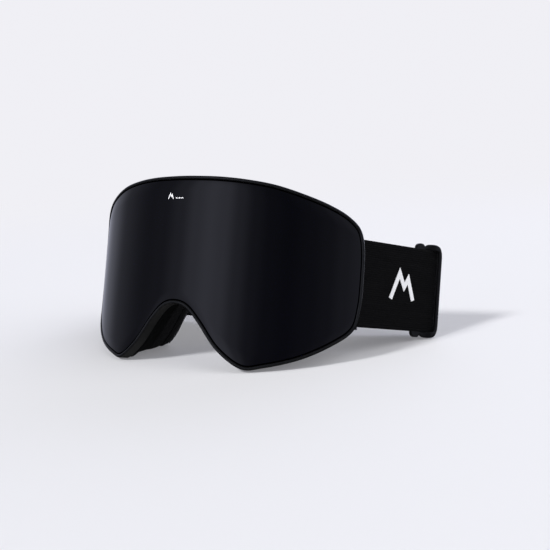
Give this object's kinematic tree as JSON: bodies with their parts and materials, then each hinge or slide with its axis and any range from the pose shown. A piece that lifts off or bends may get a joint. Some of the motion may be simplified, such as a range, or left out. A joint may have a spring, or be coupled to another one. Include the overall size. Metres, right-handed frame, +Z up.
{
  "type": "ski goggles",
  "caption": "Cylindrical-lens ski goggles with a magnetic double lens, soft vented frame, layered face foam and an elastic strap with sliding adjusters.",
  "frame": {"origin": "centre of the bounding box's base, on the surface that the goggles stand on", "axes": "+X towards the wearer's left, +Y from the lens towards the face, +Z up"},
  "size_m": [0.21, 0.12, 0.1006],
  "materials": {
    "satin_plastic": "satin black injection-moulded nylon",
    "soft_frame": "soft-touch black urethane",
    "mirror_lens": "dark mirrored polycarbonate",
    "inner_lens": "clear grey acetate with a fog-free coating",
    "foam": "black open-cell foam",
    "fleece": "black brushed fleece",
    "webbing": "matte black elastic webbing",
    "slider_plastic": "semi-gloss black acetal",
    "steel": "nickel-plated disc magnet",
    "white_mark": "raised white silicone mark"
  },
  "bodies": {
    "frame": {"front_rim": "satin_plastic", "frame_shell": "soft_frame", "vent_foam_top": "foam", "vent_foam_lower_left": "foam", "vent_foam_lower_right": "foam", "face_foam_base": "foam", "face_foam_soft": "foam", "face_fleece": "fleece", "strap_anchor_left": "satin_plastic", "strap_anchor_right": "satin_plastic", "frame_magnet_1": "steel", "frame_magnet_2": "steel", "frame_magnet_3": "steel", "frame_magnet_4": "steel", "frame_magnet_5": "steel", "frame_magnet_6": "steel"},
    "lens": {"lens_outer": "mirror_lens", "lens_carrier": "satin_plastic", "lens_gasket": "foam", "lens_inner": "inner_lens", "lens_magnet_1": "steel", "lens_magnet_2": "steel", "lens_magnet_3": "steel", "lens_magnet_4": "steel", "lens_magnet_5": "steel", "lens_magnet_6": "steel"},
    "strap_left": {"strap_front_left": "webbing", "strap_back_left": "webbing", "strap_badge": "white_mark"},
    "strap_right": {"strap_front_right": "webbing", "strap_back_right": "webbing"},
    "slider_left": {"slider_left": "slider_plastic"},
    "slider_right": {"slider_right": "slider_plastic"}
  },
  "joints": [
    {"name": "lens_pull", "type": "slide", "parent": "frame", "child": "lens", "axis": [0, -0.9659, 0.2588], "range_m": [0, 0.03]},
    {"name": "strap_swing_left", "type": "hinge", "parent": "frame", "child": "strap_left", "pos_m": [0.08131, -0.00178, 0.03879], "axis": [0, -0.2588, -0.9659], "range_deg": [-15, 30], "stiffness_Nm_per_rad": 0.03, "deforming": ["strap_back_left"]},
    {"name": "strap_swing_right", "type": "hinge", "parent": "frame", "child": "strap_right", "pos_m": [-0.08131, -0.00178, 0.03879], "axis": [0, 0.2588, 0.9659], "range_deg": [-15, 30], "stiffness_Nm_per_rad": 0.03, "deforming": ["strap_back_right"]},
    {"name": "slider_left_travel", "type": "slide", "parent": "strap_left", "child": "slider_left", "axis": [-0.3239, -0.9138, 0.2449], "range_m": [0, 0.02]},
    {"name": "slider_right_travel", "type": "slide", "parent": "strap_right", "child": "slider_right", "axis": [0.3239, -0.9138, 0.2449], "range_m": [0, 0.02]}
  ],
  "couplings": [
    {"joint": "strap_swing_right", "follows": "strap_swing_left", "ratio": 1}
  ]
}
